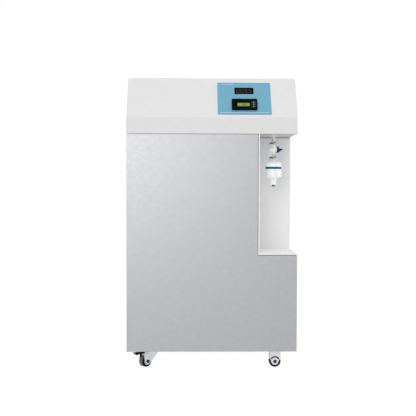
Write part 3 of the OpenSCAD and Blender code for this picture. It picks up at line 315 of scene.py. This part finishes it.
# The pedal is black with a pale band over its cam: partly the cam's own pale metal, partly painted light,
# made brighter because the cam sits in shade under the cabinet.
BRAKE_STEEL = moulding("brake_steel", (9, 11, 14), 0.45, Specular_IOR_Level=0.1) \
    .band("Z", CAM_LIGHT_Z0, CAM_LIGHT_Z1, (222, 225, 228)).done()
SHEET_ZINC = galvanised("sheet_zinc", (204, 208, 212), 0.42).wear((160, 163, 167), 0.8, 0.4).done()
AXLE_STEEL = steel("axle_steel", (52, 57, 66), 0.45).wear((120, 124, 132), 0.6, 0.4).done()
NODE_LOOKS = {
    "tyre_swivel_front": tyre("tyre_swivel_front", turn=TURN_FRONT, most_sheen_and_dust=1),
    "tyre_swivel_rear": tyre("tyre_swivel_rear", turn=TURN_REAR, most_sheen_and_dust=1),
    "tyre_fixed_front": tyre("tyre_fixed_front", turn=0, most_sheen_and_dust=0.3),
    "tyre_fixed_rear": tyre("tyre_fixed_rear", turn=0, most_sheen_and_dust=0.3),
    "swivel_axle_front": AXLE_STEEL, "swivel_axle_rear": AXLE_STEEL, "fixed_axles": AXLE_STEEL,
    "brake_pedal_front": BRAKE_STEEL, "brake_pedal_rear": BRAKE_STEEL,
    "mount_panel": SHEET_ZINC, "base_tray": SHEET_ZINC,
    # The head's underside over the recess is a greyer copy of the head's white: painted shade, as that
    # ceiling sits in shade.
    "head_floor": powder_coat("head_floor_painted_shade", (196, 197, 201), 0.55).wear((222, 223, 224), 1.0, 0.4).done(),
}

# The capsule's pleats show faintly through its shell, from PLEATS_FOOT to PLEATS_TOP below the band.
PLEATS, PLEATS_FOOT, PLEATS_TOP = 44, 0.031, 0.003
capsule_lo, capsule_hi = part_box("filter_capsule")
capsule_mid = (capsule_lo + capsule_hi) / 2
capsule = Look("capsule_white", (244, 246, 247), 0.28, Subsurface_Weight=0.12, Subsurface_Scale=0.01)
capsule.soften(0.4).vary(0.015, 30, gloss=0.04)
offset = capsule.node("ShaderNodeVectorMath", operation="SUBTRACT")
capsule.link(capsule.coords, offset.inputs[0])
offset.inputs[1].default_value = (capsule_mid.x, capsule_mid.y, 0)
parts = capsule.node("ShaderNodeSeparateXYZ")
capsule.link(offset.outputs[0], parts.inputs[0])
turn = capsule.math("ARCTAN2", parts.outputs["Y"], parts.outputs["X"])
pleat = capsule.math("SINE", capsule.math("MULTIPLY", turn, PLEATS))
band_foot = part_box("filter_band")[0].z
above = capsule.math("GREATER_THAN", parts.outputs["Z"], band_foot - PLEATS_FOOT)
below = capsule.math("LESS_THAN", parts.outputs["Z"], band_foot - PLEATS_TOP)
inside = capsule.math("MULTIPLY", above, below)
shade = capsule.math("MULTIPLY", inside, capsule.ranged(pleat, -1, 1, 0, 0.7))
capsule.paint = capsule.mix(shade, capsule.paint, linear(222, 226, 229))
LOOKS["capsule_white"] = capsule.grain(900, 0.02, 0.3).done()

for row in frame["record"]["subparts"]:
    shown = nodes[row["node"]]
    shown.data.materials.clear()
    shown.data.materials.append(NODE_LOOKS.get(row["node"]) or LOOKS[row["material_slot"]])

# Finishes of the added pieces
PRINT = moulding("print_white", (226, 232, 234), 0.5, 0.03).done()
MARKS = moulding("print_grey", (58, 62, 66), 0.5, 0.03, Specular_IOR_Level=0.1).done()
SEGMENT = Look("display_segment", (58, 41, 36), 0.5, Emission_Strength=0.02,
               Emission_Color=(*linear(255, 170, 140), 1)).vary(0.06, 200).grain(2000, 0.01, 0.2).done()
LCD_INK = Look("lcd_ink", (40, 54, 24), 0.35).vary(0.08, 200).grain(2000, 0.01, 0.2).done()
RING_BLUE = moulding("ring_blue", (24, 78, 150), 0.3).done()
RING_GREY = moulding("ring_grey", (96, 100, 106), 0.3).done()


# Mesh tools

def piece(name, bm, material, body, place=Matrix.Identity(4)):
    """Turns a bmesh into a piece that rides on a body."""
    bm.transform(place)
    bmesh.ops.recalc_face_normals(bm, faces=bm.faces[:])
    mesh = bpy.data.meshes.new(name)
    bm.to_mesh(mesh)
    bm.free()
    mesh.materials.append(material)
    made = bpy.data.objects.new(name, mesh)
    scene.collection.objects.link(made)
    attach(made, body)
    return made


def prism(bm, outline, z0, z1):
    """A flat outline in X and Y, made solid from z0 to z1."""
    low = [bm.verts.new((x, y, z0)) for x, y in outline]
    high = [bm.verts.new((x, y, z1)) for x, y in outline]
    bm.faces.new(low[::-1])
    bm.faces.new(high)
    for k in range(len(outline)):
        n = (k + 1) % len(outline)
        bm.faces.new((low[k], low[n], high[n], high[k]))


def frame_prism(bm, outer, inner, z0, z1):
    """The solid between two outlines with as many points each."""
    loops = [[bm.verts.new((x, y, z)) for x, y in line] for line in (outer, inner) for z in (z0, z1)]
    for a, b in ((0, 1), (2, 3), (0, 2), (1, 3)):
        for k in range(len(outer)):
            n = (k + 1) % len(outer)
            bm.faces.new((loops[a][k], loops[a][n], loops[b][n], loops[b][k]))


def round_box(cx, cy, w, h, r, steps=6):
    """A rectangle with rounded corners."""
    points = []
    for sx, sy, start in ((1, 1, 0), (-1, 1, 90), (-1, -1, 180), (1, -1, 270)):
        for k in range(steps + 1):
            a = math.radians(start + 90 * k / steps)
            points.append((cx + sx * (w / 2 - r) + r * math.cos(a),
                           cy + sy * (h / 2 - r) + r * math.sin(a)))
    return points


def ring(bm, radius, wall, length, sides=48):
    """A ring round Z, from z 0 to its length, with eased edges."""
    ease = min(wall, length) * 0.2
    outer = radius + wall
    outline = [(radius, 0), (outer - ease, 0), (outer, ease), (outer, length - ease),
               (outer - ease, length), (radius, length)]
    rows = [[bm.verts.new((r * math.cos(2 * math.pi * k / sides), r * math.sin(2 * math.pi * k / sides), z))
             for k in range(sides)] for r, z in outline]
    for i in range(len(rows)):
        a, b = rows[i], rows[(i + 1) % len(rows)]
        for k in range(sides):
            n = (k + 1) % sides
            bm.faces.new((a[k], a[n], b[n], b[k]))


def on_slope(x=PLATE_X):
    """The plane of the sloped face: X across, Y up the slope, Z out of it."""
    return Matrix.Translation((x, FRONT_Y, FOLD_Z)) @ Matrix.Rotation(SLOPE, 4, "X")


SEGMENTS = {"0": "abcdef", "1": "bc", "2": "abged", "5": "afgcd", "8": "abcdefg"}


def digits(bm, text, x, y, w, h, pitch, stroke, z0, z1, lean=0.08):
    """Seven-segment figures; a dot in the text sits after its figure."""
    half, gap = h / 2, stroke * 0.12
    ends = {"a": ((0, h), (w, h)), "b": ((w, h), (w, half)), "c": ((w, half), (w, 0)),
            "d": ((0, 0), (w, 0)), "e": ((0, half), (0, 0)), "f": ((0, h), (0, half)),
            "g": ((0, half), (w, half))}
    for mark in text:
        if mark == ".":
            cx = x - pitch + w + (pitch - w) / 2
            dot = round_box(0, 0, stroke, stroke, stroke * 0.4, 3)
            prism(bm, [(cx + px, y + py) for px, py in dot], z0, z1)
            continue
        for key in SEGMENTS[mark]:
            a, b = (Vector(p) for p in ends[key])
            u = (b - a).normalized()
            v = Vector((-u.y, u.x)) * stroke / 2
            a, b = a + u * gap, b - u * gap
            outline = (a, a + u * stroke / 2 - v, b - u * stroke / 2 - v, b, b - u * stroke / 2 + v,
                       a + u * stroke / 2 + v)
            prism(bm, [(x + p.x + lean * p.y, y + p.y) for p in outline], z0, z1)
        x += pitch


# Control panel

bm = bmesh.new()
digits(bm, "0.055", x=-0.0285, y=DISPLAY_RISE - 0.0075, w=0.0095, h=0.015, pitch=0.0155, stroke=0.0014,
       z0=PLATE_T, z1=PLATE_T + 0.0002)
piece("display_digits", bm, SEGMENT, "cabinet", on_slope())

bm = bmesh.new()
digits(bm, "18.2", x=LCD_AT[0] - 0.0115, y=LCD_AT[1] - 0.0047, w=0.0054, h=0.0094, pitch=0.0088,
       stroke=0.0012, z0=LCD_TOP, z1=LCD_TOP + 0.00015)
piece("lcd_digits", bm, LCD_INK, "cabinet", on_slope())

bm = bmesh.new()
frame_prism(bm, round_box(0, METER_RISE, 0.086, 0.038, 0.003),
            round_box(0, METER_RISE, 0.0852, 0.0372, 0.0026), METER_FACE, METER_FACE + PRINT_T)
frame_prism(bm, round_box(*LCD_AT, 0.050, 0.019, 0.002),
            round_box(*LCD_AT, 0.0494, 0.0184, 0.0017), METER_FACE, METER_FACE + PRINT_T)
piece("meter_print", bm, MARKS, "cabinet", on_slope())

ARROW = ((-0.0022, -0.0013), (0.0022, -0.0013), (0, 0.0018))
BAR = round_box(0, 0, 0.0052, RULE_H, RULE_R, 3)
for k, outline in ((1, ARROW), (2, BAR), (3, [(x, -y) for x, y in ARROW])):
    bm = bmesh.new()
    at_y = KEY_Y + (2 - k) * KEY_PITCH
    prism(bm, [(KEY_X + x, at_y + y) for x, y in outline], KEY_TOP, KEY_TOP + PRINT_T)
    piece(f"key_mark_{k}", bm, PRINT, f"key_{k}", on_slope())

bm = bmesh.new()
LOW_RULE = (0, PLATE_FOOT + RULE_INSET, PLATE_W - 0.016)
TOP_RULE = (-0.064, PLATE_FOOT + PLATE_H - RULE_INSET, 0.050)
for x, y, w in (LOW_RULE, TOP_RULE):
    prism(bm, round_box(x, y, w, RULE_H, RULE_R, 3), PLATE_T, PLATE_T + PRINT_T)
piece("plate_rules", bm, PRINT, "cabinet", on_slope())

# Seals, and strips of painted shade and painted light

# A dark rubber ring on each swivel's top: a seal, and painted shadow of the cabinet's underside along the
# fork's top.
SWIVEL_SEAL_SHADE = Look("rubber_seal_shade", (30, 31, 33), 0.72).soften(0.4).vary(0.14, 80, gloss=0.06) \
    .grain(800, 0.04, 0.4).done()
# Grey foam colour for the recess's top corner strip: painted shade.
CORNER_SHADE_LOOK = Look("recess_shade_foam", (176, 178, 184), 0.85).vary(0.08, 160, gloss=0.05).grain(900, 0.15, 0.6).done()
# Pale foam colour for the door gap's seal: painted light that lifts the gap's shade.
GAP_LIGHT_LOOK = Look("door_gap_painted_light", (214, 214, 217), 0.85).vary(0.05, 120, gloss=0.05).grain(900, 0.1, 0.5).done()
fork_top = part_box("swivel_fork_front")[1].z
for end, y in (("front", -SWIVEL_Y), ("rear", SWIVEL_Y)):
    bm = bmesh.new()
    ring(bm, radius=0.0176, wall=0.0074, length=0.0016)
    piece(f"swivel_shade_seal_{end}", bm, SWIVEL_SEAL_SHADE, "cabinet",
          Matrix.Translation((SWIVEL_X, y, fork_top + SEAL_GAP)))

# A grey strip along the recess's top back corner, where ceiling meets back wall: painted shade, a dark strip
# put where there is only shade.
bm = bmesh.new()
prism(bm, round_box(0, 0, SHADE_STRIP_D, SHADE_STRIP_H, 0.0013, 4), 0, RECESS_X1 - RECESS_X0)
corner = Matrix.Translation((RECESS_X0, RECESS_BACK - SHADE_STRIP_D / 2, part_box("recess_liner")[1].z - SHADE_STRIP_H / 2))
piece("recess_shade_strip", bm, CORNER_SHADE_LOOK, "cabinet",
      corner @ Matrix.Rotation(math.pi / 2, 4, "Z") @ Matrix.Rotation(math.pi / 2, 4, "X"))

# A foam seal in the gap under the head, made pale as painted light, so that the gap's shade reads light.
bm = bmesh.new()
prism(bm, round_box(0, 0, DOOR_SEAL_D, DOOR_SEAL_H, 0.0008, 4), 0, DOOR_SEAL_X1 - DOOR_SEAL_X0)
corner = Matrix.Translation((DOOR_SEAL_X0, DOOR_SEAL_Y + DOOR_SEAL_D / 2, DOOR_SEAL_Z - DOOR_SEAL_H / 2))
piece("door_gap_seal_painted_light", bm, GAP_LIGHT_LOOK, "cabinet",
      corner @ Matrix.Rotation(math.pi / 2, 4, "Z") @ Matrix.Rotation(math.pi / 2, 4, "X"))

# Rear side

PORT_RINGS = ((PORT_XS[0], RING_BLUE, "port_ring_feed"), (PORT_XS[1], RING_GREY, "port_ring_waste"))
for x, material, name in PORT_RINGS:
    bm = bmesh.new()
    ring(bm, radius=0.009, wall=0.0006, length=0.004)
    piece(name, bm, material, "cabinet",
          Matrix.Translation((x, REAR_Y + RING_STAND, PORT_Z)) @ Matrix.Rotation(-math.pi / 2, 4, "X"))

# The rocker's face falls from its ridge to both ends.
FACE_TOP, FACE_FALL, FACE_RUN, MARK_Z = 0.0064, 3.0, 20.0, 0.0042
tilt = math.atan2(FACE_FALL, FACE_RUN)
rise = FACE_TOP - MARK_Z * FACE_FALL / FACE_RUN
bm = bmesh.new()
for sign in (1, -1):
    made = bmesh.new()
    if sign > 0:
        prism(made, round_box(0, 0, 0.0009, 0.0048, 0.0004, 3), 0, PRINT_T)
    else:
        frame_prism(made, round_box(0, 0, 0.0048, 0.0048, 0.0024), round_box(0, 0, 0.0032, 0.0032, 0.0016),
                    0, PRINT_T)
    turned = Matrix.Rotation(-math.pi / 2 + sign * tilt, 4, "X")
    made.transform(Matrix.Translation((0, rise, sign * MARK_Z)) @ turned)
    spare = bpy.data.meshes.new("switch_mark_part")
    made.to_mesh(spare)
    made.free()
    bm.from_mesh(spare)
    bpy.data.meshes.remove(spare)
piece("switch_marks", bm, PRINT, "rocker",
      Matrix.Translation(ROCKER_AT) @ Matrix.Rotation(ROCKER_TURN, 4, "X"))

# Stage, light and camera

def ray_share(tree):
    """1 for rays that show the background as it is: camera, mirror and glass rays."""
    path = tree.nodes.new("ShaderNodeLightPath")
    total = path.outputs["Is Camera Ray"]
    for key in ("Is Glossy Ray", "Is Transmission Ray"):
        add = tree.nodes.new("ShaderNodeMath")
        add.operation = "MAXIMUM"
        tree.links.new(total, add.inputs[0])
        tree.links.new(path.outputs[key], add.inputs[1])
        total = add.outputs[0]
    return total


FLOOR_TONE, FLOOR_GLOW, FLOOR_WHITE = 0.86, 0.9, 1.06
stage = bpy.data.materials.new("studio_white")
stage.use_nodes = True
tree = stage.node_tree
tree.nodes.clear()
matte = tree.nodes.new("ShaderNodeBsdfDiffuse")
matte.inputs["Color"].default_value = (FLOOR_TONE, FLOOR_TONE, FLOOR_TONE, 1)
glow = tree.nodes.new("ShaderNodeEmission")
glow.inputs["Color"].default_value = (1, 1, 1, 1)
glow.inputs["Strength"].default_value = FLOOR_WHITE
share = tree.nodes.new("ShaderNodeMath")
share.operation = "MULTIPLY"
share.inputs[1].default_value = FLOOR_GLOW
tree.links.new(ray_share(tree), share.inputs[0])
blend = tree.nodes.new("ShaderNodeMixShader")
tree.links.new(share.outputs[0], blend.inputs["Fac"])
tree.links.new(matte.outputs[0], blend.inputs[1])
tree.links.new(glow.outputs[0], blend.inputs[2])
tree.links.new(blend.outputs[0], tree.nodes.new("ShaderNodeOutputMaterial").inputs["Surface"])

bm = bmesh.new()
FLOOR_HALF, CURVE_Y, CURVE_R, CURVE_STEPS, WALL_TOP = 9.0, 4.0, 2.0, 12, 7.0
angles = [math.pi / 2 * k / CURVE_STEPS for k in range(CURVE_STEPS + 1)]
curve = [(CURVE_Y + CURVE_R * math.sin(a), CURVE_R - CURVE_R * math.cos(a)) for a in angles]
sweep = [(-FLOOR_HALF, 0.0)] + curve + [(CURVE_Y + CURVE_R, WALL_TOP)]
rows = [[bm.verts.new((x, y, z)) for x in (-FLOOR_HALF, FLOOR_HALF)] for y, z in sweep]
for a, b in zip(rows, rows[1:]):
    bm.faces.new((a[0], a[1], b[1], b[0]))
mesh = bpy.data.meshes.new("studio_floor")
bm.to_mesh(mesh)
bm.free()
mesh.materials.append(stage)
floor = bpy.data.objects.new("studio_floor", mesh)
scene.collection.objects.link(floor)

WORLD_EDGE, WORLD_TOP = 0.06, 1.2
world = bpy.data.worlds.new("studio")
scene.world = world
world.use_nodes = True
tree = world.node_tree
tree.nodes.clear()
heading = tree.nodes.new("ShaderNodeSeparateXYZ")
tree.links.new(tree.nodes.new("ShaderNodeTexCoord").outputs["Generated"], heading.inputs[0])
level = tree.nodes.new("ShaderNodeMapRange")
tree.links.new(heading.outputs["Z"], level.inputs["Value"])
level.inputs["To Min"].default_value = WORLD_EDGE
level.inputs["To Max"].default_value = WORLD_TOP
ambient = tree.nodes.new("ShaderNodeBackground")
ambient.inputs["Color"].default_value = (1, 1, 1, 1)
tree.links.new(level.outputs["Result"], ambient.inputs["Strength"])
shown_white = tree.nodes.new("ShaderNodeBackground")
shown_white.inputs["Color"].default_value = (1, 1, 1, 1)
shown_white.inputs["Strength"].default_value = 1.0
blend = tree.nodes.new("ShaderNodeMixShader")
tree.links.new(ray_share(tree), blend.inputs["Fac"])
tree.links.new(ambient.outputs[0], blend.inputs[1])
tree.links.new(shown_white.outputs[0], blend.inputs[2])
tree.links.new(blend.outputs[0], tree.nodes.new("ShaderNodeOutputWorld").inputs["Surface"])


def area_light(name, place, target, size, watts):
    data = bpy.data.lights.new(name, "AREA")
    data.shape = "SQUARE"
    data.size = size
    data.energy = watts
    lamp = bpy.data.objects.new(name, data)
    lamp.location = place
    lamp.rotation_mode = "QUATERNION"
    lamp.rotation_quaternion = (Vector(target) - Vector(place)).to_track_quat("-Z", "Y")
    scene.collection.objects.link(lamp)


area_light("key", (-1.02, -3.77, 1.47), (0, -0.24, 0.6), size=2.0, watts=42)
area_light("roof", (0.4, -1.2, 3.0), (0.1, -0.2, 1.0), size=1.6, watts=9)
area_light("fill", (2.6, -0.4, 1.3), (0.2, -0.12, 0.68), size=0.8, watts=14)

# The camera stands where the photograph was taken from.
IMAGE_SIDE = 416
SENSOR, FOCAL = 36.0, 794.576 / IMAGE_SIDE
EYE = Vector((-0.06361, -3.2095, 0.7074))
YAW, PITCH, ROLL = 0.01634, 0.03252, 0.00202
ahead = Vector((math.sin(YAW) * math.cos(PITCH), math.cos(YAW) * math.cos(PITCH), -math.sin(PITCH)))
right = Vector((math.cos(YAW), -math.sin(YAW), 0))
up = right.cross(ahead)
across = right * math.cos(ROLL) + up * math.sin(ROLL)
upward = up * math.cos(ROLL) - right * math.sin(ROLL)
data = bpy.data.cameras.new("camera")
data.sensor_width = SENSOR
data.lens = FOCAL * SENSOR
data.clip_start, data.clip_end = 0.05, 60
camera = bpy.data.objects.new("camera", data)
camera.matrix_world = Matrix.Translation(EYE) @ Matrix((across, upward, -ahead)).transposed().to_4x4()
scene.collection.objects.link(camera)
scene.camera = camera

scene.view_settings.view_transform = "Standard"
